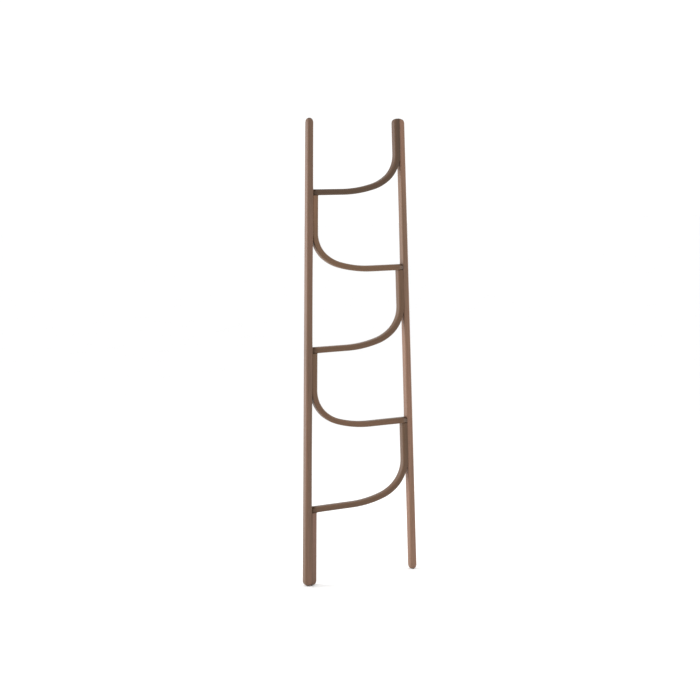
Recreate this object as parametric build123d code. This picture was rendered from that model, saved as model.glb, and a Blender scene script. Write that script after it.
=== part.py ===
"""Leaning bentwood ladder rack: two stiles, five bent rungs and a foot block, glued and doweled.

Millimetres, +Z up along the ladder, +X to its right, -Y its front. The origin is on the floor, midway
between the feet and in the middle of the depth. Each rung starts as a leg flat against one stile, bends
and runs level to the other stile, where its end rests on the top of the next rung's leg.
"""
from build123d import *
import os
from math import atan, cos, radians, tan

# Driving dimensions
LADDER_HEIGHT = 1990.0
TOP_WIDTH = 464.0                 # over both stiles at their tops
FOOT_WIDTH = 559.5                # over both stiles at the floor
DEPTH = 34.0                      # front to back, the same for every wooden piece
STILE_TOP_WIDTH = 27.0            # a stile grows a little wider from its top to its foot
STILE_FOOT_WIDTH = 31.5
RUNG_THICKNESS = 25.0
SEAT_HEIGHTS = [1669.5, 1340.5, 1005.5, 666.5, 318.5]   # underside of each rung's level end

# Rounding
EXPOSED_EDGE_RADIUS = 9.0         # long edges that face out
SEAM_EDGE_RADIUS = 2.0            # long edges where two pieces meet
SINGLE_END_RADIUS = 12.5          # corners of a stile end that stands alone
DOUBLE_END_RADIUS = 21.0          # corners of an end where two pieces stand side by side
END_CROWN_RADIUS = 14.5           # front and back of every end

# The bend: out of the leg in a tight arc that eases into the level run through two wider ones
BEND_RUN = 306.0                  # from the leg's middle to where the rung is level
BEND_RISE_PER_SPAN = 0.422        # height of the bend over the rung's clear span
LEG_CORNER_RISE = 0.525           # corners that the arcs round, as shares of the bend's rise and run
MIDDLE_CORNER_RISE = 0.175
MIDDLE_CORNER_RUN = 0.275
LEVEL_CORNER_RUN = 0.63
MIDDLE_ARC_REACH = 37.0           # from the middle corner to either end of its arc
ARC_SLACK = 0.999                 # keeps neighbouring arcs from meeting in a zero-length run

# Dowels
DOWEL_RADIUS = 4.0
DOWEL_LENGTH = 30.0
GLUE_ROOM = 1.0                   # left in the bore past each end of a dowel
LEG_DOWEL_DROPS = (28.0, 98.0)    # below the top of a rung's leg
END_DOWEL_OFFSET = 7.5            # of a rung end's two dowels, in front of and behind the middle
FOOT_BLOCK_DOWEL_HEIGHTS = (60.0, 160.0, 260.0)

LEFT, RIGHT = -1, 1
RUNG_COUNT = len(SEAT_HEIGHTS)
OUTER_SLOPE = (FOOT_WIDTH - TOP_WIDTH) / 2 / LADDER_HEIGHT
INNER_SLOPE = OUTER_SLOPE - (STILE_FOOT_WIDTH - STILE_TOP_WIDTH) / LADDER_HEIGHT
LEG_WIDTH = RUNG_THICKNESS / cos(atan(INNER_SLOPE))     # a leg's thickness, measured level
OVERRUN = 20.0                    # spare stock that is cut off
TOLERANCE = 0.01


def outer_face(z):
    """Distance of a stile's outer face from the middle of the ladder at height z."""
    return FOOT_WIDTH / 2 - OUTER_SLOPE * z


def inner_face(z):
    """Distance of a stile's inner face from the middle of the ladder at height z."""
    return FOOT_WIDTH / 2 - STILE_FOOT_WIDTH - INNER_SLOPE * z


def leg_face(z):
    """Distance from the middle of the ladder of the face that a leg turns to it, at height z."""
    return inner_face(z) - LEG_WIDTH


def leg_middle(z):
    """Distance of a leg's middle line from the middle of the ladder at height z."""
    return inner_face(z) - LEG_WIDTH / 2


def strip(side, near, far, bottom, top):
    """Corners of a straight strip along one stile, between two of the faces above."""
    corners = ((bottom, near), (top, near), (top, far), (bottom, far))
    return [(side * face(z), z) for z, face in corners]


def prism(outline, depth=DEPTH):
    """A face drawn in x and z, given depth from front to back."""
    return extrude(Plane.XZ * outline, depth / 2, both=True)


def board(corners, depth=DEPTH):
    """A flat board with straight sides between (x, z) corners."""
    return prism(make_face(Polyline(*corners, close=True)), depth)


def eased(bar, side, face, radius):
    """A bar along a stile with the front and back edges of one long face rounded."""
    def on_face(edge):
        middle = edge @ 0.5
        away = abs(middle.X - side * face(middle.Z))
        return away < TOLERANCE and edge.length > DEPTH
    return fillet(bar.edges().filter_by(on_face), radius)


def rounded_ends(side):
    """The space inside one side's rounded ends: two pieces wide at its doubled end, one at the other."""
    top_face, foot_face = (leg_face, inner_face) if side == RIGHT else (inner_face, leg_face)
    middle = LADDER_HEIGHT / 2
    outline = make_face(Polyline(
        (side * outer_face(0), 0),
        (side * outer_face(LADDER_HEIGHT), LADDER_HEIGHT),
        (side * top_face(LADDER_HEIGHT), LADDER_HEIGHT),
        (side * top_face(middle), middle),
        (side * foot_face(middle), middle),
        (side * foot_face(0), 0),
        close=True,
    ))
    for height, face in ((LADDER_HEIGHT, top_face), (0, foot_face)):
        corners = [v for v in outline.vertices() if abs(v.Y - height) < TOLERANCE]
        outline = fillet(corners, DOUBLE_END_RADIUS if face == leg_face else SINGLE_END_RADIUS)
    crown = Plane.YZ * Pos(0, middle) * RectangleRounded(DEPTH, LADDER_HEIGHT, END_CROWN_RADIUS)
    return prism(outline) & extrude(crown, FOOT_WIDTH / 2, both=True)


def top_waste(side):
    """The corners that rounding takes off a doubled top end."""
    low, high = LADDER_HEIGHT - 2 * DOUBLE_END_RADIUS, LADDER_HEIGHT + OVERRUN
    near, far = side * TOP_WIDTH / 4, side * TOP_WIDTH
    block = board([(near, low), (near, high), (far, high), (far, low)], DEPTH + OVERRUN)
    return block - rounded_ends(side)


def leg_side(number):
    """The side of the ladder that a rung's leg stands on: right for rungs 1, 3 and 5."""
    return RIGHT if number % 2 else LEFT


def leg_top(number):
    """Height of the top of a rung's leg."""
    return LADDER_HEIGHT if number == 1 else SEAT_HEIGHTS[number - 2]


def run_height(number):
    """Height of the middle of a rung's level run."""
    return SEAT_HEIGHTS[number - 1] + RUNG_THICKNESS / 2


def leg_dowel_places(number):
    """Centres of the dowels between a rung's leg and its stile."""
    return [(leg_side(number) * inner_face(z), 0, z) for z in (leg_top(number) - d for d in LEG_DOWEL_DROPS)]


def end_dowel_places(number):
    """Centres of the dowels between a rung's level end and the opposite stile."""
    z = run_height(number)
    return [(-leg_side(number) * inner_face(z), y, z) for y in (-END_DOWEL_OFFSET, END_DOWEL_OFFSET)]


def foot_block_dowel_places():
    """Centres of the dowels between the foot block and the left stile."""
    return [(LEFT * inner_face(z), 0, z) for z in FOOT_BLOCK_DOWEL_HEIGHTS]


def rod(place, length):
    """A round rod of a dowel's thickness that lies across the ladder, centred on a place."""
    return Pos(*place) * Rot(0, 90, 0) * Cylinder(DOWEL_RADIUS, length)


def dowels(places):
    """A group of separate dowels, one at each place."""
    return Compound([rod(place, DOWEL_LENGTH) for place in places])


def bored(piece, places):
    """A piece with a blind bore for the dowel at each place."""
    for place in places:
        piece -= rod(place, DOWEL_LENGTH + 2 * GLUE_ROOM)
    return piece


def stile(side):
    """A straight stile, full height, with bores for every leg and rung end that meets it."""
    bar = board(strip(side, outer_face, inner_face, 0, LADDER_HEIGHT))
    bar = eased(bar, side, outer_face, EXPOSED_EDGE_RADIUS)
    bar = eased(bar, side, inner_face, SEAM_EDGE_RADIUS)
    places = foot_block_dowel_places() if side == LEFT else []
    for number in range(1, RUNG_COUNT + 1):
        places += leg_dowel_places(number) if leg_side(number) == side else end_dowel_places(number)
    return bored(bar & rounded_ends(side), places)


def foot_block():
    """The straight block beside the left stile, from the floor up to the lowest rung's end."""
    bar = board(strip(LEFT, inner_face, leg_face, 0, SEAT_HEIGHTS[-1]))
    bar = eased(bar, LEFT, leg_face, EXPOSED_EDGE_RADIUS)
    bar = eased(bar, LEFT, inner_face, SEAM_EDGE_RADIUS)
    return bored(bar & rounded_ends(LEFT), foot_block_dowel_places())


def rung_corners(number):
    """Corners (x, z) of a rung's middle line, from above its leg's top to past its level end."""
    level = run_height(number)
    rise = BEND_RISE_PER_SPAN * (leg_middle(level) + inner_face(level))
    start, bend_top = leg_top(number) + OVERRUN, level + LEG_CORNER_RISE * rise
    corners = [
        (leg_middle(start), start),
        (leg_middle(bend_top), bend_top),
        (leg_middle(level) - MIDDLE_CORNER_RUN * BEND_RUN, level + MIDDLE_CORNER_RISE * rise),
        (leg_middle(level) - LEVEL_CORNER_RUN * BEND_RUN, level),
        (-inner_face(level) - OVERRUN, level),
    ]
    return [(leg_side(number) * x, z) for x, z in corners]


def bend_radii(corners):
    """Radii that make the three arcs meet end to end, each rounding one corner of the middle line."""
    points = [Vector(*corner) for corner in corners]
    upper_side, lower_side = points[2] - points[1], points[3] - points[2]
    reaches = (upper_side.length - MIDDLE_ARC_REACH, MIDDLE_ARC_REACH, lower_side.length - MIDDLE_ARC_REACH)
    turns = [(b - a).get_angle(c - b) for a, b, c in zip(points, points[1:], points[2:])]
    return [ARC_SLACK * reach / tan(radians(turn) / 2) for reach, turn in zip(reaches, turns)]


def rung_section():
    """A rung's cross-section: well rounded on its hollow side, nearly square on its stile side."""
    outline = Rectangle(RUNG_THICKNESS, DEPTH)
    outline = fillet(outline.vertices().group_by(Axis.X)[0], EXPOSED_EDGE_RADIUS)
    return fillet(outline.vertices().group_by(Axis.X)[-1], SEAM_EDGE_RADIUS)


def rung(number):
    """A bent rung: leg, bend and level run, trimmed to both stiles and to the end that rests on it."""
    side, corners = leg_side(number), rung_corners(number)
    middle_line = FilletPolyline(*[(x, 0, z) for x, z in corners], radius=bend_radii(corners))
    start = Plane(origin=middle_line @ 0, x_dir=(side, 0, 0), z_dir=middle_line % 0)
    bar = sweep(start * rung_section(), path=middle_line)
    bottom, top = SEAT_HEIGHTS[number - 1] - OVERRUN, leg_top(number)
    between_stiles = [
        (-inner_face(bottom), bottom),
        (-inner_face(top), top),
        (inner_face(top), top),
        (inner_face(bottom), bottom),
    ]
    bar &= board(between_stiles, DEPTH + OVERRUN)
    if top == LADDER_HEIGHT:
        bar -= top_waste(side)
    return bored(bar, leg_dowel_places(number) + end_dowel_places(number))


def main():
    os.makedirs("parts", exist_ok=True)
    pieces = {"left_stile": stile(LEFT), "right_stile": stile(RIGHT), "foot_block": foot_block()}
    pieces["foot_block_dowels"] = dowels(foot_block_dowel_places())
    for number in range(1, RUNG_COUNT + 1):
        pieces[f"rung_{number}"] = rung(number)
        pieces[f"rung_{number}_leg_dowels"] = dowels(leg_dowel_places(number))
        pieces[f"rung_{number}_end_dowels"] = dowels(end_dowel_places(number))
    for name, shape in pieces.items():
        export_step(shape, f"parts/{name}.step")


main()
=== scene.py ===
"""Looks of a leaning bentwood ladder rack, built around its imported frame.

Metres, +Z up along the ladder, +X to its right, -Y its front. A bar's own coordinates are across (its
thickness, plus towards its stile), deep (front to back) and along (its length, following any bend).
"""

import math

import bmesh
import bpy
from mathutils import Matrix, Vector


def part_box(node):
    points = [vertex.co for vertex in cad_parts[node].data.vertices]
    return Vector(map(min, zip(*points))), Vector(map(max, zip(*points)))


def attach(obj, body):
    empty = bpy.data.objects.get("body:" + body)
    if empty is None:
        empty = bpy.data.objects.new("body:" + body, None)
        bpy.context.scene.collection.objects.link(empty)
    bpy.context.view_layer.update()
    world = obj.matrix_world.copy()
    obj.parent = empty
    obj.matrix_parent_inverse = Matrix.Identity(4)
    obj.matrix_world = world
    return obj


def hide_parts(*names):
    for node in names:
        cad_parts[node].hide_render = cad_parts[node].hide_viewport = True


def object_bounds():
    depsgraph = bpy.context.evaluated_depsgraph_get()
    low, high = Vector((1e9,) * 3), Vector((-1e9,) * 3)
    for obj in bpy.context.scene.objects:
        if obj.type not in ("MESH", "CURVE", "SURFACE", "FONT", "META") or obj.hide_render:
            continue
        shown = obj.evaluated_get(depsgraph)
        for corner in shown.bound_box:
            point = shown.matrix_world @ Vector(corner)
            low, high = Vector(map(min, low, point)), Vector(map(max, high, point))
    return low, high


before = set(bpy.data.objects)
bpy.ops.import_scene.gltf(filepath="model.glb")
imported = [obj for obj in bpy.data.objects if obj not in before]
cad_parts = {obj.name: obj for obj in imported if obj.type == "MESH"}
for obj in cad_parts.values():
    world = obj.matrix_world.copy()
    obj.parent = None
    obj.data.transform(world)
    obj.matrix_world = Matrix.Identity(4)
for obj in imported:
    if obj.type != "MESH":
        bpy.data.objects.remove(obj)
CAD_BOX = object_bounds()
BOXES = {name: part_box(name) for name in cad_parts}

bl_info = {
    "name": "Bentwood Ladder Rack",
    "version": (1, 0, 0),
    "blender": (4, 5, 0),
    "location": "View3D > Sidebar > Ladder Rack",
    "description": "Models a leaning bentwood ladder rack piece by piece, with its finish and a studio",
    "category": "Add Mesh",
}

LEFT, RIGHT = -1, 1
SIDE_NAMES = {LEFT: "left", RIGHT: "right"}
RUNGS = range(1, 6)
TINY = 1e-5
ON_FACE = 10 * TINY               # how near a point has to be to count as on a face


class LadderRackSizes(bpy.types.PropertyGroup):
    """Sizes of the wood, its rounding and the bend of the rungs."""

    stile_top_width: bpy.props.FloatProperty(
        name="Stile top width", description="Width of a stile at its top, across the ladder",
        default=0.027, min=0.01, unit="LENGTH")
    stile_foot_width: bpy.props.FloatProperty(
        name="Stile foot width", description="Width of a stile at the floor, across the ladder",
        default=0.0315, min=0.01, unit="LENGTH")
    depth: bpy.props.FloatProperty(
        name="Depth", description="Front to back, the same for every bar",
        default=CAD_BOX[1].y - CAD_BOX[0].y, min=0.01, unit="LENGTH")
    rung_thickness: bpy.props.FloatProperty(
        name="Rung thickness", description="Thickness of a bent rung and of the foot block",
        default=0.025, min=0.01, unit="LENGTH")
    exposed_rounding: bpy.props.FloatProperty(
        name="Exposed rounding", description="Radius of long edges that a hand can reach",
        default=0.009, min=0.001, unit="LENGTH")
    parted_rounding: bpy.props.FloatProperty(
        name="Parted rounding", description="Radius of a seam's long edges once the two bars have parted",
        default=0.0085, min=0.001, unit="LENGTH")
    seam_rounding: bpy.props.FloatProperty(
        name="Seam rounding", description="Radius of edges where two bars are glued together",
        default=0.0007, min=0.0002, unit="LENGTH")
    single_end_rounding: bpy.props.FloatProperty(
        name="Single end rounding", description="Corner radius of a stile end that stands alone",
        default=0.0122, min=0.001, unit="LENGTH")
    double_end_rounding: bpy.props.FloatProperty(
        name="Double end rounding", description="Corner radius of an end that is two bars wide",
        default=0.0205, min=0.001, unit="LENGTH")
    end_crown: bpy.props.FloatProperty(
        name="End crown", description="Radius of an end's front and back edges",
        default=0.0145, min=0.001, unit="LENGTH")
    end_stretch: bpy.props.FloatProperty(
        name="Single end stretch", description="How much taller than round a single end's dome is",
        default=1.45, min=1.0)
    bend_run: bpy.props.FloatProperty(
        name="Bend run", description="Level distance from a leg's middle to where its rung is level",
        default=0.306, min=0.05, unit="LENGTH")
    bend_rise_share: bpy.props.FloatProperty(
        name="Bend rise share", description="Height of the bend over the rung's clear span",
        default=0.422, min=0.1, max=1.0)


class LadderRackFinish(bpy.types.PropertyGroup):
    """Colours of the stained wood and of the bare dowels."""

    stile_color: bpy.props.FloatVectorProperty(
        name="Stile colour", description="Middle tone of the stiles' stained wood",
        subtype="COLOR", size=3, min=0.0, max=1.0, default=(0.152, 0.085, 0.052))
    rung_color: bpy.props.FloatVectorProperty(
        name="Rung colour", description="Middle tone of the rungs' stained wood",
        subtype="COLOR", size=3, min=0.0, max=1.0, default=(0.124, 0.066, 0.034))
    block_color: bpy.props.FloatVectorProperty(
        name="Foot block colour", description="Middle tone of the foot block's stained wood",
        subtype="COLOR", size=3, min=0.0, max=1.0, default=(0.162, 0.091, 0.060))
    dowel_color: bpy.props.FloatVectorProperty(
        name="Dowel colour", description="Middle tone of the bare dowels",
        subtype="COLOR", size=3, min=0.0, max=1.0, default=(0.52, 0.36, 0.21))


class LadderRackStage(bpy.types.PropertyGroup):
    """Floor, light and camera."""

    floor_size: bpy.props.FloatProperty(
        name="Floor size", description="Side of the square floor", default=80.0, min=2.0, unit="LENGTH")
    floor_color: bpy.props.FloatVectorProperty(
        name="Floor colour", description="Pale matt floor",
        subtype="COLOR", size=3, min=0.0, max=1.0, default=(0.94, 0.94, 0.94))
    surround: bpy.props.FloatProperty(
        name="Surround", description="Brightness of the white room around the ladder", default=1.08, min=0.0)
    left_power: bpy.props.FloatProperty(
        name="Left light", description="Power of the tall soft box on the left",
        default=62.0, min=0.0, unit="POWER")
    right_power: bpy.props.FloatProperty(
        name="Right light", description="Power of the tall soft box on the right",
        default=30.0, min=0.0, unit="POWER")


# Where the frame puts things

def seat_height(number):
    """Height of the underside of a rung's level end."""
    return BOXES[f"rung_{number}"][0].z


def leg_top(number):
    """Height of the top of a rung's leg."""
    return BOXES[f"rung_{number}"][1].z


def leg_side(number):
    """The side that a rung's leg stands on: right for rungs 1, 3 and 5, left for 2 and 4."""
    return RIGHT if number % 2 else LEFT


def inner_face(z):
    """Distance of a stile's inner face from the middle: rungs 1 and 5 end on the left one's."""
    upper, lower = BOXES["rung_1"][0], BOXES["rung_5"][0]
    return -upper.x - (z - upper.z) * (lower.x - upper.x) / (lower.z - upper.z)


def lean():
    """Angle between a stile and the upright."""
    return math.atan(inner_face(0) - inner_face(1))


def outer_face(sizes, z):
    """Distance of a stile's outer face from the middle: a stile grows wider towards its foot."""
    growth = (sizes.stile_foot_width - sizes.stile_top_width) / CAD_BOX[1].z
    return inner_face(z) + sizes.stile_foot_width - growth * z


def leg_width(sizes):
    """Thickness of a leg, measured level."""
    return sizes.rung_thickness / math.cos(lean())


def leg_face(sizes, z):
    """Distance from the middle of the face that a leg turns to the middle of the ladder."""
    return inner_face(z) - leg_width(sizes)


def leg_middle(sizes, z):
    """Distance of a leg's middle line from the middle of the ladder."""
    return inner_face(z) - leg_width(sizes) / 2


# The bent middle line

# Corners that the bend's three arcs round, as shares of its rise and run, and the reach of the middle arc
LEG_CORNER_RISE = 0.525
MIDDLE_CORNER_RISE = 0.175
MIDDLE_CORNER_RUN = 0.275
LEVEL_CORNER_RUN = 0.63
MIDDLE_ARC_REACH = 0.037
SPARE = 0.02                      # extra bar that is cut off at both ends


class Arc:
    """One arc of a bend, which turns from down towards level, drawn for a leg on the right."""

    def __init__(self, before, corner, after, reach):
        towards, away = (corner - before).normalized(), (after - corner).normalized()
        self.turn = towards.angle(away)
        self.radius = reach / math.tan(self.turn / 2)
        self.start, self.end = corner - reach * towards, corner + reach * away
        self.centre = self.start + self.radius * Vector((towards.y, -towards.x))
        self.length = self.radius * self.turn


class BentLine:
    """The middle line of a rung: straight down its leg, round three arcs and along its level run."""

    def __init__(self, sizes, number):
        self.side = leg_side(number)
        self.level = seat_height(number) + sizes.rung_thickness / 2
        span = leg_middle(sizes, self.level) + inner_face(self.level)
        rise = sizes.bend_rise_share * span
        start, bend_top = leg_top(number) + SPARE, self.level + LEG_CORNER_RISE * rise
        middle = leg_middle(sizes, self.level)
        corners = [
            Vector((leg_middle(sizes, start), start)),
            Vector((leg_middle(sizes, bend_top), bend_top)),
            Vector((middle - MIDDLE_CORNER_RUN * sizes.bend_run, self.level + MIDDLE_CORNER_RISE * rise)),
            Vector((middle - LEVEL_CORNER_RUN * sizes.bend_run, self.level)),
            Vector((-inner_face(self.level) - SPARE, self.level)),
        ]
        upper_reach = (corners[2] - corners[1]).length - MIDDLE_ARC_REACH
        lower_reach = (corners[3] - corners[2]).length - MIDDLE_ARC_REACH
        reaches = (upper_reach, MIDDLE_ARC_REACH, lower_reach)
        self.arcs = [Arc(*corners[i:i + 3], reach) for i, reach in enumerate(reaches)]
        self.start, self.finish = corners[0], corners[-1]
        self.leg_length = (self.arcs[0].start - self.start).length
        self.bend_length = sum(arc.length for arc in self.arcs)

    def unbend(self, point):
        """(across, along) of a point: how far it lies towards the stile, and its distance along the line."""
        flat = Vector((self.side * point.x, point.z))
        down = (self.arcs[0].start - self.start).normalized()
        along = (flat - self.start).dot(down)
        if along <= self.leg_length:
            return (flat - self.start).dot(Vector((-down.y, down.x))), along
        along = self.leg_length
        for arc in self.arcs:
            spoke, first = flat - arc.centre, arc.start - arc.centre
            angle = math.atan2(first.y * spoke.x - first.x * spoke.y, first.dot(spoke))
            if angle <= arc.turn:
                return spoke.length - arc.radius, along + angle * arc.radius
            along += arc.length
        return self.level - flat.y, along + self.arcs[-1].end.x - flat.x


# Modelling helpers

def start_piece(name, corners):
    """A new object with one ring of four edges, from a plane that edit mode puts on its corners."""
    bpy.ops.object.select_all(action="DESELECT")
    centre = sum(corners, Vector()) / len(corners)
    bpy.ops.mesh.primitive_plane_add(size=1, location=centre)
    piece = bpy.context.object
    piece.name = piece.data.name = name
    bpy.ops.object.transform_apply(location=True, rotation=True, scale=True)
    for vertex, corner in zip(sorted(piece.data.vertices, key=lambda v: (v.co.x, v.co.y)), corners):
        vertex.co = corner
    bpy.ops.object.mode_set(mode="EDIT")
    bpy.ops.mesh.delete(type="ONLY_FACE")
    bpy.ops.mesh.select_all(action="SELECT")
    return piece


def pull(offset):
    """Extrudes the selected ring by an offset."""
    bpy.ops.mesh.extrude_region_move(TRANSFORM_OT_translate={"value": offset})


def steps_between(low, high, longest):
    """Evenly spaced values after low up to high, no further apart than longest."""
    count = max(1, math.ceil((high - low) / longest - TINY))
    return [low + (high - low) * i / count for i in range(1, count + 1)]


def cut_end(point, normal):
    """Cuts the bar in edit mode at a plane, clears what is beyond it and closes the end."""
    bpy.ops.mesh.select_all(action="SELECT")
    bpy.ops.mesh.bisect(plane_co=point, plane_no=normal, clear_outer=True, use_fill=True)


def fade(value, start, end):
    """0 before start and 1 after end, with a smooth change between."""
    t = min(1.0, max(0.0, (value - start) / (end - start)))
    return t * t * (3 - 2 * t)


def round_edges(piece, radius_of, segments=6):
    """Rounds a bar's edges with one bevel, each edge to the radius that radius_of gives."""
    mesh = piece.data
    radii = [radius_of(*(mesh.vertices[i].co for i in edge.vertices)) for edge in mesh.edges]
    widest = max(radii)
    weights = mesh.attributes.new("bevel_weight_edge", "FLOAT", "EDGE")
    weights.data.foreach_set("value", [radius / widest for radius in radii])
    bevel = piece.modifiers.new("rounding", "BEVEL")
    bevel.width, bevel.segments, bevel.limit_method = widest, segments, "WEIGHT"
    bevel.use_clamp_overlap = False
    bpy.ops.object.modifier_apply(modifier=bevel.name)
    mesh.attributes.remove(mesh.attributes["bevel_weight_edge"])


def close_and_face_out(piece):
    """Leaves edit mode with doubles merged and faces turned outwards."""
    bpy.ops.mesh.select_all(action="SELECT")
    bpy.ops.mesh.remove_doubles(threshold=TINY)
    bpy.ops.mesh.normals_make_consistent(inside=False)
    bpy.ops.object.mode_set(mode="OBJECT")


def smooth(piece):
    """Smooth shading whose normals follow the large faces, so that flats stay flat."""
    bpy.ops.object.shade_smooth()
    weighted = piece.modifiers.new("flats", "WEIGHTED_NORMAL")
    weighted.keep_sharp = False
    bpy.ops.object.modifier_apply(modifier=weighted.name)


STORED = {"grain": "FLOAT_VECTOR", "wear_and_highlight": "FLOAT", "end_grain": "FLOAT", "tone": "FLOAT"}
GRAIN_STEPS = (0.37, 0.19, 1.13)  # how far apart two seeds lie in the wood's pattern
WEAR_AND_HIGHLIGHT_FADE = (0.02, 0.28)          # how round an edge is where the wear and painted highlight begin and where they are full
CUT_FADE = (0.45, 0.95)           # how square a face is to the grain where it counts as cut


def store_grain(piece, own_coordinates, axis_at, seed, tone=1.0):
    """Stores what the wood's pattern reads: own coordinates, wear and a painted highlight on round edges,
    cut ends and tone.
    """
    mesh = piece.data
    shift = Vector([seed * step for step in GRAIN_STEPS])
    for name, kind in STORED.items():
        mesh.attributes.new(name, kind, "POINT")
    grain, wear_and_highlight, cut = (mesh.attributes[name] for name in ("grain", "wear_and_highlight", "end_grain"))
    mesh.attributes["tone"].data.foreach_set("value", [tone] * len(mesh.vertices))
    for vertex in mesh.vertices:
        own = own_coordinates(vertex.co)
        along = axis_at(own)
        across = Vector((along.z, 0, -along.x))
        normal = vertex.normal
        facing = max(abs(normal.dot(across)), abs(normal.y), abs(normal.dot(along)))
        grain.data[vertex.index].vector = own + shift
        # Roundness of each edge, where the wood is lightened: partly wear, partly a painted highlight
        wear_and_highlight.data[vertex.index].value = fade(1 - facing, *WEAR_AND_HIGHLIGHT_FADE)
        cut.data[vertex.index].value = fade(abs(normal.dot(along)), *CUT_FADE)


def finish_piece(piece, material):
    """Gives a piece its material and ties it to the frame."""
    piece.data.materials.clear()
    piece.data.materials.append(material)
    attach(piece, "root")


# Materials

def node(tree, kind, place, **values):
    """A shader node at a place, with its settings and unlinked inputs."""
    made = tree.nodes.new(kind)
    made.location = place
    for name, value in values.items():
        if hasattr(made, name):
            setattr(made, name, value)
        else:
            made.inputs[name.replace("_", " ")].default_value = value
    return made


def ramp(tree, place, stops):
    """A color ramp with (position, color) stops."""
    made = tree.nodes.new("ShaderNodeValToRGB")
    made.location = place
    elements = made.color_ramp.elements
    for element, (position, color) in zip((elements[0], elements[-1]), (stops[0], stops[-1])):
        element.position, element.color = position, color
    for position, color in stops[1:-1]:
        elements.new(position).color = color
    return made


def shade(color, factor, tint=(1.0, 1.0, 1.0)):
    """A color made lighter or darker, with a tint."""
    return tuple(min(1.0, c * factor * t) for c, t in zip(color, tint)) + (1.0,)


STAINED_ROUGHNESS, BARE_ROUGHNESS = 0.46, 0.6
SMOOTHER, ROUGHER = 0.06, 0.07    # how far the pores move the roughness each way
SPECULAR = 0.36

# The pattern's scale across, deep and along, in features per metre: each is drawn out along the bar
DRIFT_SCALE = (22, 22, 1.6)
LINE_SCALE = (420, 420, 2.6)
PORE_SCALE = (1500, 1500, 26)
FIBRE_SCALE = (3200, 3200, 60)

LINE_STRENGTH, PORE_STRENGTH = 0.85, 0.8
# Round edges lightened in patches: partly wear, partly a painted highlight where the roundings catch the
# light
WORN_AND_LIT_STRENGTH, WORN_AND_LIT_FACTOR, WORN_AND_LIT_TINT = 0.35, 1.9, (1.0, 1.02, 1.03)
CUT_STRENGTH, CUT_SHADE, CUT_TINT = 0.75, 0.5, (1.0, 0.97, 0.95)
PORE_RELIEF = {"Strength": 0.35, "Distance": 0.0004}
FIBRE_RELIEF = {"Strength": 0.2, "Distance": 0.0002}
WHITE = (1, 1, 1, 1)


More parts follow.
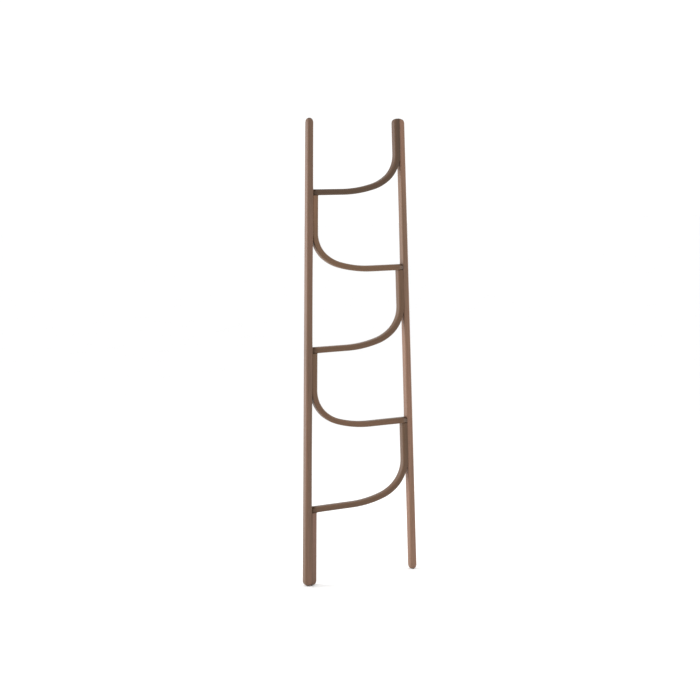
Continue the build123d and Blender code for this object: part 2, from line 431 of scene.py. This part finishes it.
def wood(name, color, roughness):
    """Stained wood: slow drifts of tone, straight grain lines, short pores, round edges lightened partly as
    wear and partly as a painted highlight, dark end grain.
    """
    material = bpy.data.materials.new(name)
    material.use_nodes = True
    tree = material.node_tree
    links = tree.links
    shader = tree.nodes["Principled BSDF"]
    place = node(tree, "ShaderNodeAttribute", (-1800, 200), attribute_name="grain")

    def noise(scale, detail, spot, distortion=0.0):
        mapped = node(tree, "ShaderNodeMapping", (spot[0] - 200, spot[1]), Scale=scale)
        made = node(tree, "ShaderNodeTexNoise", spot, Scale=1.0, Detail=detail, Distortion=distortion)
        links.new(place.outputs["Vector"], mapped.inputs["Vector"])
        links.new(mapped.outputs["Vector"], made.inputs["Vector"])
        return made.outputs["Fac"]

    def mix(kind, factor, first, second, spot):
        made = node(tree, "ShaderNodeMix", spot, data_type="RGBA", blend_type=kind)
        sockets = (made.inputs["Factor"], made.inputs[6], made.inputs[7])
        for socket, value in zip(sockets, (factor, first, second)):
            if isinstance(value, bpy.types.NodeSocket):
                links.new(value, socket)
            else:
                socket.default_value = value
        return made.outputs[2]

    drift = noise(DRIFT_SCALE, 2.0, (-1400, 500), 0.4)
    lines = noise(LINE_SCALE, 3.0, (-1400, 250), 0.25)
    pores = noise(PORE_SCALE, 2.0, (-1400, 0))
    fibre = noise(FIBRE_SCALE, 1.0, (-1400, -250))

    tones = ramp(tree, (-1150, 500), [
        (0.30, shade(color, 0.84, (0.97, 1.01, 1.00))),
        (0.50, shade(color, 1.0)),
        (0.70, shade(color, 1.17, (1.03, 0.99, 1.04))),
    ])
    links.new(drift, tones.inputs["Fac"])
    stripes = ramp(tree, (-1150, 250), [(0.36, (0.80, 0.79, 0.78, 1)), (0.52, WHITE)])
    links.new(lines, stripes.inputs["Fac"])
    specks = ramp(tree, (-1150, 0), [(0.34, (0.66, 0.63, 0.60, 1)), (0.43, WHITE)])
    links.new(pores, specks.inputs["Fac"])
    toned = mix("MULTIPLY", LINE_STRENGTH, tones.outputs["Color"], stripes.outputs["Color"], (-850, 400))
    pored = mix("MULTIPLY", PORE_STRENGTH, toned, specks.outputs["Color"], (-650, 300))

    # Painted highlight mixed with wear: rounded edges are lightened in patches, as though the roundings
    # caught the light
    wear_and_highlight = node(tree, "ShaderNodeAttribute", (-1100, -450), attribute_name="wear_and_highlight")
    patchy = node(tree, "ShaderNodeMath", (-850, -450), operation="MULTIPLY")
    links.new(wear_and_highlight.outputs["Fac"], patchy.inputs[0])
    links.new(drift, patchy.inputs[1])
    soft = node(tree, "ShaderNodeMath", (-680, -450), operation="MULTIPLY")
    links.new(patchy.outputs[0], soft.inputs[0])
    soft.inputs[1].default_value = WORN_AND_LIT_STRENGTH
    worn_and_lit = mix("MIX", soft.outputs[0], pored, shade(color, WORN_AND_LIT_FACTOR, WORN_AND_LIT_TINT), (-450, 200))

    # Each plank's own tone factor scales its colour
    depth = node(tree, "ShaderNodeAttribute", (-1100, -850), attribute_name="tone")
    stained = node(tree, "ShaderNodeVectorMath", (-350, 400), operation="SCALE")
    links.new(worn_and_lit, stained.inputs[0])
    links.new(depth.outputs["Fac"], stained.inputs["Scale"])
    cut = node(tree, "ShaderNodeAttribute", (-1100, -650), attribute_name="end_grain")
    darker = node(tree, "ShaderNodeMath", (-680, -650), operation="MULTIPLY")
    links.new(cut.outputs["Fac"], darker.inputs[0])
    darker.inputs[1].default_value = CUT_STRENGTH
    cut_color = shade(color, CUT_SHADE, CUT_TINT)
    ended = mix("MIX", darker.outputs[0], stained.outputs[0], cut_color, (-250, 100))
    links.new(ended, shader.inputs["Base Color"])

    sheen = node(tree, "ShaderNodeMapRange", (-650, -100), From_Min=0.3, From_Max=0.7,
                 To_Min=roughness - SMOOTHER, To_Max=roughness + ROUGHER)
    links.new(pores, sheen.inputs["Value"])
    links.new(sheen.outputs["Result"], shader.inputs["Roughness"])
    coarse = node(tree, "ShaderNodeBump", (-450, -300), **PORE_RELIEF)
    links.new(pores, coarse.inputs["Height"])
    fine = node(tree, "ShaderNodeBump", (-250, -300), **FIBRE_RELIEF)
    links.new(fibre, fine.inputs["Height"])
    links.new(coarse.outputs["Normal"], fine.inputs["Normal"])
    links.new(fine.outputs["Normal"], shader.inputs["Normal"])
    shader.inputs["Specular IOR Level"].default_value = SPECULAR
    return material


def finish_of(slot):
    """The material of a slot, made once."""
    name = f"{slot}_finish"
    if name in bpy.data.materials:
        return bpy.data.materials[name]
    colors = bpy.context.scene.ladder_rack_finish
    color = {"stile_wood": colors.stile_color, "rung_wood": colors.rung_color,
             "block_wood": colors.block_color, "dowel_wood": colors.dowel_color}[slot]
    return wood(name, tuple(color), BARE_ROUGHNESS if slot == "dowel_wood" else STAINED_ROUGHNESS)


# The bars

# Each plank's colour is scaled by its own tone factor, and each has its own place in the wood's pattern
RUNG_TONES = (0.75, 1.34, 1.02, 1.06, 0.92)
STILE_TONES = {LEFT: 1.04, RIGHT: 1.36}
STILE_SEED, RUNG_SEED, BLOCK_SEED, DOWEL_SEED = 1, 3, 10, 11

STILE_STEP, BLOCK_STEP, RUNG_STEP = 0.05, 0.04, 0.03      # longest gap between a bar's rings
ARC_STEP_ANGLE, ARC_STEP_LENGTH = math.radians(3), 0.016  # the same on a bend
LEVEL_SLACK = 0.002               # how much an edge of a level ring may rise
RING_SLACK = 0.0012               # how far along a rung an edge of a ring may reach
CROTCH_RINGS = 4                  # rings where a seam's edges open
DOME_MARGIN = 0.0005              # how far below a dome its stretch still takes hold


def doubled_stretches(sizes, side):
    """(bottom, top, crotch) heights where a stile has a bar glued to its inner face."""
    found = []
    for number in RUNGS:
        if leg_side(number) == side:
            top = leg_top(number) + (sizes.rung_thickness if number > 1 else 0)
            found.append((BentLine(sizes, number).arcs[0].start.y, top, True))
    if side == LEFT:
        found.append((BOXES["foot_block"][0].z, BOXES["foot_block"][1].z + sizes.rung_thickness, False))
    return found


CROTCH_FADE = 0.055               # over which a seam's edges open to their full rounding
STOP_FADE = 0.012                 # over which a rounding stops against the end of a rung


def straight_bar(name, side, far, near, heights, sizes):
    """An upright bar with a ring at each height, between two faces' distances from the middle."""
    half, floor = sizes.depth / 2, heights[0]
    ends = sorted(side * face(floor) for face in (far, near))
    piece = start_piece(name, [Vector((x, y, floor)) for x in ends for y in (-half, half)])
    bpy.ops.mesh.edge_face_add()
    bpy.ops.mesh.select_all(action="SELECT")
    for low, high in zip(heights, heights[1:]):
        middle, next_middle = ((far(z) + near(z)) / 2 for z in (low, high))
        pull((side * (next_middle - middle), 0, high - low))
        growth = (far(high) - near(high)) / (far(low) - near(low))
        bpy.ops.transform.resize(value=(growth, 1, 1), center_override=(side * next_middle, 0, high))
    close_and_face_out(piece)
    return piece


def stile_heights(sizes, side):
    """Heights of a stile's rings: close together where its inner rounding changes."""
    top = BOXES[f"{SIDE_NAMES[side]}_stile"][1].z
    marks = {0.0, top}
    for bottom, end, parts in doubled_stretches(sizes, side):
        marks |= {bottom, end}
        if parts:
            marks |= {bottom - CROTCH_FADE * i / CROTCH_RINGS for i in range(1, CROTCH_RINGS + 1)}
        if end < top:
            marks |= {end + STOP_FADE / 2, end + STOP_FADE}
    marks = sorted(m for m in marks if 0.0 <= m <= top)
    heights = marks[:1]
    for low, high in zip(marks, marks[1:]):
        if high - low > TINY:
            heights += steps_between(low, high, STILE_STEP)
    return heights


def is_level(first, second):
    """Whether an edge lies in one of a bar's level rings."""
    return abs(first.z - second.z) < LEVEL_SLACK


def end_radius(sizes, first, second, seam_side, doubled):
    """Radius of an edge of an end face, which runs across the ladder or from front to back."""
    if abs(first.x - second.x) > abs(first.y - second.y):
        return sizes.end_crown
    if doubled:
        return sizes.seam_rounding if seam_side else sizes.double_end_rounding
    return sizes.single_end_rounding


class LADDERRACK_OT_stiles(bpy.types.Operator):
    """Model both stiles, with domed ends and edges that are rounder where nothing is glued to them"""

    bl_idname = "ladder_rack.stiles"
    bl_label = "Stiles"

    def execute(self, context):
        sizes = context.scene.ladder_rack_sizes
        for side in (LEFT, RIGHT):
            self.model(sizes, side)
        return {"FINISHED"}

    def model(self, sizes, side):
        node_name = f"{SIDE_NAMES[side]}_stile"
        top = BOXES[node_name][1].z
        stretches = doubled_stretches(sizes, side)
        heights = stile_heights(sizes, side)

        def outer(z):
            return outer_face(sizes, z)

        bar = straight_bar(f"{node_name}_wood", side, outer, inner_face, heights, sizes)

        def inner_radius(z):
            opened = 1.0
            for bottom, end, parts in stretches:
                below = fade(bottom - z, 0, CROTCH_FADE) if parts else float(z < bottom)
                above = fade(z - end, 0, STOP_FADE)
                opened = min(opened, max(below, above))
            return sizes.seam_rounding + opened * (sizes.parted_rounding - sizes.seam_rounding)

        def radius_of(first, second):
            middle = (first + second) / 2
            on_seam_side = side * middle.x - inner_face(middle.z) < sizes.stile_top_width / 4
            if is_level(first, second):
                if TINY < middle.z < top - TINY:
                    return 0.0
                doubled = (middle.z > top / 2) == (side == RIGHT)
                return end_radius(sizes, first, second, on_seam_side, doubled)
            return inner_radius(middle.z) if on_seam_side else sizes.exposed_rounding

        round_edges(bar, radius_of)
        single_end = top if side == LEFT else 0.0
        self.stretch(bar, side, single_end, sizes)
        smooth(bar)
        up = Vector((-side * math.sin(lean()), 0, math.cos(lean())))

        def own(point):
            return Vector((side * point.x - inner_face(point.z), point.y, point.z))

        store_grain(bar, own, lambda own_place: up, STILE_SEED + side, STILE_TONES[side])
        finish_piece(bar, finish_of("stile_wood"))
        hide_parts(node_name)

    def stretch(self, bar, side, end, sizes):
        """Draws a single end's dome out to be taller than it is round."""
        reach = sizes.end_crown + DOME_MARGIN
        middle = (inner_face(end) + outer_face(sizes, end)) / 2
        for vertex in bar.data.vertices:
            vertex.select = abs(vertex.co.z - end) < reach
        bpy.ops.object.mode_set(mode="EDIT")
        bpy.ops.transform.resize(
            value=(1, 1, sizes.end_stretch), center_override=(side * middle, 0, end))
        bpy.ops.object.mode_set(mode="OBJECT")


class LADDERRACK_OT_rungs(bpy.types.Operator):
    """Model the five bent rungs by spinning a bar round each bend"""

    bl_idname = "ladder_rack.rungs"
    bl_label = "Rungs"

    def execute(self, context):
        sizes = context.scene.ladder_rack_sizes
        for number in RUNGS:
            self.model(sizes, number)
        return {"FINISHED"}

    def model(self, sizes, number):
        line = BentLine(sizes, number)
        bar = self.bent_bar(f"rung_{number}_wood", line, sizes)
        top, level = leg_top(number), line.level
        side = line.side
        cut_end((0, 0, top), (0, 0, 1))
        tilt = lean()
        end_point = (-side * inner_face(level), 0, level)
        cut_end(end_point, (-side * math.cos(tilt), 0, -math.sin(tilt)))
        close_and_face_out(bar)
        end_along = line.leg_length + line.bend_length + line.arcs[-1].end.x + inner_face(level)
        bend_start, run_seam = line.leg_length, end_along - leg_width(sizes)

        def on_end(point):
            return abs(side * point.x + inner_face(point.z)) < ON_FACE

        def radius_of(first, second):
            own_first, own_second = line.unbend(first), line.unbend(second)
            across, along = (own_first[0] + own_second[0]) / 2, (own_first[1] + own_second[1]) / 2
            if first.z > top - ON_FACE and second.z > top - ON_FACE:
                if number > 1:
                    return sizes.seam_rounding
                return end_radius(sizes, first, second, across > 0, True)
            if on_end(first) and on_end(second):
                return sizes.seam_rounding
            if abs(own_first[1] - own_second[1]) < RING_SLACK:
                return 0.0
            if across < 0:
                return sizes.exposed_rounding
            opened = min(fade(along, bend_start, bend_start + CROTCH_FADE),
                         fade(run_seam - along, 0, STOP_FADE))
            return sizes.seam_rounding + opened * (sizes.parted_rounding - sizes.seam_rounding)

        round_edges(bar, radius_of)
        smooth(bar)

        def own(point):
            across, along = line.unbend(point)
            return Vector((across, point.y, along))

        def axis_at(own_place):
            turned, along = 0.0, own_place.z - line.leg_length
            for arc in line.arcs:
                turned += min(arc.turn, max(0.0, along / arc.radius))
                along -= arc.length
            angle = lean() - turned
            return Vector((side * math.sin(angle), 0, -math.cos(angle)))

        store_grain(bar, own, axis_at, RUNG_SEED + number, RUNG_TONES[number - 1])
        finish_piece(bar, finish_of("rung_wood"))
        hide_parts(f"rung_{number}")

    def bent_bar(self, name, line, sizes):
        """A bar with a ring across it wherever the bend or the rounding changes."""
        half_thick, half_deep = sizes.rung_thickness / 2, sizes.depth / 2
        side, tilt = line.side, lean()
        thick = Vector((math.cos(tilt), 0, math.sin(tilt)))
        start = Vector((line.start.x, 0, line.start.y))
        corners = []
        for across in ((-half_thick, half_thick) if side == RIGHT else (half_thick, -half_thick)):
            for y in (-half_deep, half_deep):
                point = start + across * thick
                corners.append(Vector((side * point.x, y, point.z)))
        bar = start_piece(name, corners)
        down = line.arcs[0].start - line.start
        clear = SPARE + 2 * sizes.double_end_rounding
        lengths = [0.0, clear] + steps_between(clear, down.length, RUNG_STEP)
        for low, high in zip(lengths, lengths[1:]):
            step = down.normalized() * (high - low)
            pull((side * step.x, 0, step.y))
        for arc in line.arcs:
            steps = math.ceil(max(arc.turn / ARC_STEP_ANGLE, arc.length / ARC_STEP_LENGTH))
            bpy.ops.mesh.spin(
                steps=steps, angle=-side * arc.turn, axis=(0, 1, 0),
                center=(side * arc.centre.x, 0, arc.centre.y))
        run = line.arcs[-1].end.x - line.finish.x
        end = run - SPARE
        stops = [0.0] + steps_between(0, end - leg_width(sizes) - STOP_FADE, RUNG_STEP)
        stops += [end - leg_width(sizes) - STOP_FADE / 2, end - leg_width(sizes), run]
        for low, high in zip(stops, stops[1:]):
            pull((-side * (high - low), 0, 0))
        return bar


class LADDERRACK_OT_foot_block(bpy.types.Operator):
    """Model the straight block that doubles the left foot"""

    bl_idname = "ladder_rack.foot_block"
    bl_label = "Foot block"

    def execute(self, context):
        sizes = context.scene.ladder_rack_sizes
        top = BOXES["foot_block"][1].z
        heights = [0.0] + steps_between(0, top, BLOCK_STEP)

        def block_face(z):
            return leg_face(sizes, z)

        bar = straight_bar("foot_block_wood", LEFT, inner_face, block_face, heights, sizes)

        def inset(point):
            return inner_face(point.z) + point.x

        def radius_of(first, second):
            middle = (first + second) / 2
            on_seam_side = inset(middle) < leg_width(sizes) / 2
            if is_level(first, second):
                if middle.z > top - TINY:
                    return sizes.seam_rounding
                return end_radius(sizes, first, second, on_seam_side, True) if middle.z < TINY else 0.0
            return sizes.seam_rounding if on_seam_side else sizes.exposed_rounding

        round_edges(bar, radius_of)
        smooth(bar)
        up = Vector((math.sin(lean()), 0, math.cos(lean())))
        store_grain(bar, lambda p: Vector((inset(p), p.y, p.z)), lambda own: up, BLOCK_SEED)
        finish_piece(bar, finish_of("block_wood"))
        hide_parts("foot_block")
        return {"FINISHED"}


DOWEL_SIDES = 32
DOWEL_CHAMFER = 0.0011
FLUTE_EDGE = 0.00008              # width of the slope into a flute
FLUTE_PRESS = (0.99, 0.93, 0.93)  # a flute's length and distance from the dowel's axis, as shares
SIDE_SLOPE, SIDE_AREA = 0.1, 1e-5     # a dowel's side faces lean less and measure more than this
FOOT_BLOCK_DOWELS, LEG_DOWELS = 3, 2


class LADDERRACK_OT_dowels(bpy.types.Operator):
    """Model one fluted dowel and put a copy at every place in the frame"""

    bl_idname = "ladder_rack.dowels"
    bl_label = "Dowels"

    def execute(self, context):
        pattern = self.fluted_dowel()
        for name in sorted(BOXES):
            if name.endswith("dowels"):
                self.group(pattern, name)
        bpy.data.objects.remove(pattern)
        return {"FINISHED"}

    def fluted_dowel(self):
        """A dowel at the origin along X, with chamfered ends and pressed flutes."""
        low, high = BOXES["rung_1_end_dowels"]
        radius, length = (high.z - low.z) / 2, high.x - low.x
        bpy.ops.object.select_all(action="DESELECT")
        bpy.ops.mesh.primitive_cylinder_add(
            vertices=DOWEL_SIDES, radius=radius, depth=length, rotation=(0, math.radians(90), 0))
        dowel = bpy.context.object
        dowel.name = "dowel_pattern"
        bpy.ops.object.transform_apply(rotation=True)
        bpy.ops.object.mode_set(mode="EDIT")
        bpy.ops.mesh.select_mode(type="EDGE")
        bpy.ops.mesh.select_all(action="DESELECT")
        shape = bmesh.from_edit_mesh(dowel.data)
        for edge in shape.edges:
            edge.select_set(all(abs(abs(v.co.x) - length / 2) < TINY for v in edge.verts))
        bpy.ops.mesh.bevel(offset=DOWEL_CHAMFER, segments=2, affect="EDGES")
        bpy.ops.mesh.select_mode(type="FACE")
        bpy.ops.mesh.select_all(action="DESELECT")
        shape = bmesh.from_edit_mesh(dowel.data)
        for face in shape.faces:
            around = math.atan2(face.normal.y, face.normal.z) / math.tau * DOWEL_SIDES
            is_side = abs(face.normal.x) < SIDE_SLOPE and face.calc_area() > SIDE_AREA
            face.select_set(is_side and int(around + DOWEL_SIDES) % 2 == 0)
        bpy.ops.mesh.inset(thickness=FLUTE_EDGE, use_individual=True)
        bpy.ops.transform.resize(value=FLUTE_PRESS, center_override=(0, 0, 0))
        close_and_face_out(dowel)
        bpy.ops.object.shade_smooth_by_angle(angle=math.radians(30))
        return dowel

    def places(self, name):
        """Centres of a node's dowels: side by side at a rung's end, one above another elsewhere."""
        low, high = BOXES[name]
        radius = (BOXES["rung_1_end_dowels"][1].z - BOXES["rung_1_end_dowels"][0].z) / 2
        if high.z - low.z < 3 * radius:
            middle = (low + high) / 2
            return [Vector((middle.x, y, middle.z)) for y in (low.y + radius, high.y - radius)]
        side = RIGHT if low.x > 0 else LEFT
        count = FOOT_BLOCK_DOWELS if name == "foot_block_dowels" else LEG_DOWELS
        bottom, top = low.z + radius, high.z - radius
        heights = [bottom + (top - bottom) * i / (count - 1) for i in range(count)]
        return [Vector((side * inner_face(z), 0, z)) for z in heights]

    def group(self, pattern, name):
        """One object with a copy of the dowel at each of a node's places."""
        copies = []
        for place in self.places(name):
            copy = pattern.copy()
            copy.data = pattern.data.copy()
            copy.data.transform(Matrix.Translation(place))
            bpy.context.scene.collection.objects.link(copy)
            copies.append(copy)
        bpy.ops.object.select_all(action="DESELECT")
        for copy in copies:
            copy.select_set(True)
        bpy.context.view_layer.objects.active = copies[0]
        bpy.ops.object.join()
        made = bpy.context.object
        made.name = made.data.name = f"{name}_wood"
        seed = DOWEL_SEED + sorted(BOXES).index(name)
        store_grain(made, lambda p: Vector((p.z, p.y, p.x)), lambda own: Vector((1, 0, 0)), seed)
        finish_piece(made, finish_of("dowel_wood"))
        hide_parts(name)


LIGHT_WIDTH, LIGHT_HEIGHT = 1.4, 2.6
LEFT_LIGHT, RIGHT_LIGHT = (-2.1, 1.5), (2.6, 0.2)
LEFT_LIGHT_RISE, RIGHT_LIGHT_RISE = 0.6, 0.55     # as shares of the ladder's height
FLOOR_ROUGHNESS, FLOOR_SPECULAR, FLOOR_MOTTLE = 0.9, 0.1, 0.985
LENS, SENSOR_WIDTH = 72.0, 36.0
CAMERA_PLACE = (-2.8580, -5.2543, 1.7454)
CAMERA_YAW, CAMERA_PITCH, CAMERA_ROLL = 28.207, 7.060, -0.689     # degrees


class LADDERRACK_OT_stage(bpy.types.Operator):
    """Lay the floor, light the ladder and place the camera"""

    bl_idname = "ladder_rack.stage"
    bl_label = "Stage"

    def execute(self, context):
        stage = context.scene.ladder_rack_stage
        self.floor(stage)
        self.surround(context.scene, stage)
        height = CAD_BOX[1].z
        self.soft_box("left_soft_box", (*LEFT_LIGHT, height * LEFT_LIGHT_RISE), stage.left_power)
        self.soft_box("right_soft_box", (*RIGHT_LIGHT, height * RIGHT_LIGHT_RISE), stage.right_power)
        self.camera(context.scene)
        return {"FINISHED"}

    def floor(self, stage):
        """A plain pale floor under the feet."""
        bpy.ops.object.select_all(action="DESELECT")
        bpy.ops.mesh.primitive_plane_add(size=stage.floor_size, location=(0, 0, CAD_BOX[0].z))
        floor = bpy.context.object
        floor.name = floor.data.name = "floor"
        bpy.ops.object.transform_apply(location=True)
        material = bpy.data.materials.new("floor_finish")
        material.use_nodes = True
        tree = material.node_tree
        shader = tree.nodes["Principled BSDF"]
        place = node(tree, "ShaderNodeTexCoord", (-800, 0))
        mottle = node(tree, "ShaderNodeTexNoise", (-600, 0), Scale=3.0, Detail=4.0)
        color = tuple(stage.floor_color)
        tones = ramp(tree, (-400, 0), [(0.35, shade(color, FLOOR_MOTTLE)), (0.65, shade(color, 1.0))])
        tree.links.new(place.outputs["Object"], mottle.inputs["Vector"])
        tree.links.new(mottle.outputs["Fac"], tones.inputs["Fac"])
        tree.links.new(tones.outputs["Color"], shader.inputs["Base Color"])
        shader.inputs["Roughness"].default_value = FLOOR_ROUGHNESS
        shader.inputs["Specular IOR Level"].default_value = FLOOR_SPECULAR
        floor.data.materials.append(material)

    def surround(self, scene, stage):
        """A white room all around."""
        world = bpy.data.worlds.new("white_room")
        world.use_nodes = True
        background = world.node_tree.nodes["Background"]
        background.inputs["Color"].default_value = WHITE
        background.inputs["Strength"].default_value = stage.surround
        scene.world = world
        scene.view_settings.view_transform = "Standard"

    def soft_box(self, name, place, power):
        """A tall soft light that faces the ladder's middle."""
        data = bpy.data.lights.new(name, "AREA")
        data.shape, data.energy = "RECTANGLE", power
        data.size, data.size_y = LIGHT_WIDTH, LIGHT_HEIGHT
        light = bpy.data.objects.new(name, data)
        light.location = place
        towards = Vector((0, 0, place[2])) - Vector(place)
        light.rotation_euler = towards.to_track_quat("-Z", "Y").to_euler()
        bpy.context.scene.collection.objects.link(light)

    def camera(self, scene):
        """The camera stands to the left at eye height and looks a little down."""
        data = bpy.data.cameras.new("camera")
        data.sensor_width, data.lens = SENSOR_WIDTH, LENS
        camera = bpy.data.objects.new("camera", data)
        yaw, pitch, roll = (math.radians(angle) for angle in (CAMERA_YAW, CAMERA_PITCH, CAMERA_ROLL))
        turned = Matrix.Rotation(-yaw, 4, "Z") @ Matrix.Rotation(math.pi / 2 - pitch, 4, "X")
        rolled = turned @ Matrix.Rotation(roll, 4, "Z")
        camera.matrix_world = Matrix.Translation(CAMERA_PLACE) @ rolled
        scene.collection.objects.link(camera)
        scene.camera = camera


class LADDERRACK_PT_panel(bpy.types.Panel):
    """Sidebar panel with a button for each group of pieces"""

    bl_idname = "LADDERRACK_PT_panel"
    bl_label = "Ladder Rack"
    bl_space_type = "VIEW_3D"
    bl_region_type = "UI"
    bl_category = "Ladder Rack"

    def draw(self, context):
        layout = self.layout
        for operator in OPERATORS:
            layout.operator(operator.bl_idname)
        for group in (context.scene.ladder_rack_sizes, context.scene.ladder_rack_finish,
                      context.scene.ladder_rack_stage):
            box = layout.box()
            for name in group.bl_rna.properties.keys():
                if name not in ("rna_type", "name"):
                    box.prop(group, name)


OPERATORS = (
    LADDERRACK_OT_stiles,
    LADDERRACK_OT_rungs,
    LADDERRACK_OT_foot_block,
    LADDERRACK_OT_dowels,
    LADDERRACK_OT_stage,
)
GROUPS = {
    "ladder_rack_sizes": LadderRackSizes,
    "ladder_rack_finish": LadderRackFinish,
    "ladder_rack_stage": LadderRackStage,
}


def register():
    for group in GROUPS.values():
        bpy.utils.register_class(group)
    for name, group in GROUPS.items():
        setattr(bpy.types.Scene, name, bpy.props.PointerProperty(type=group))
    for kind in (*OPERATORS, LADDERRACK_PT_panel):
        bpy.utils.register_class(kind)


def unregister():
    for kind in (LADDERRACK_PT_panel, *reversed(OPERATORS)):
        bpy.utils.unregister_class(kind)
    for name, group in GROUPS.items():
        delattr(bpy.types.Scene, name)
        bpy.utils.unregister_class(group)


def main():
    register()
    bpy.ops.ladder_rack.stiles()
    bpy.ops.ladder_rack.rungs()
    bpy.ops.ladder_rack.foot_block()
    bpy.ops.ladder_rack.dowels()
    bpy.ops.ladder_rack.stage()


if __name__ == "__main__":
    main()
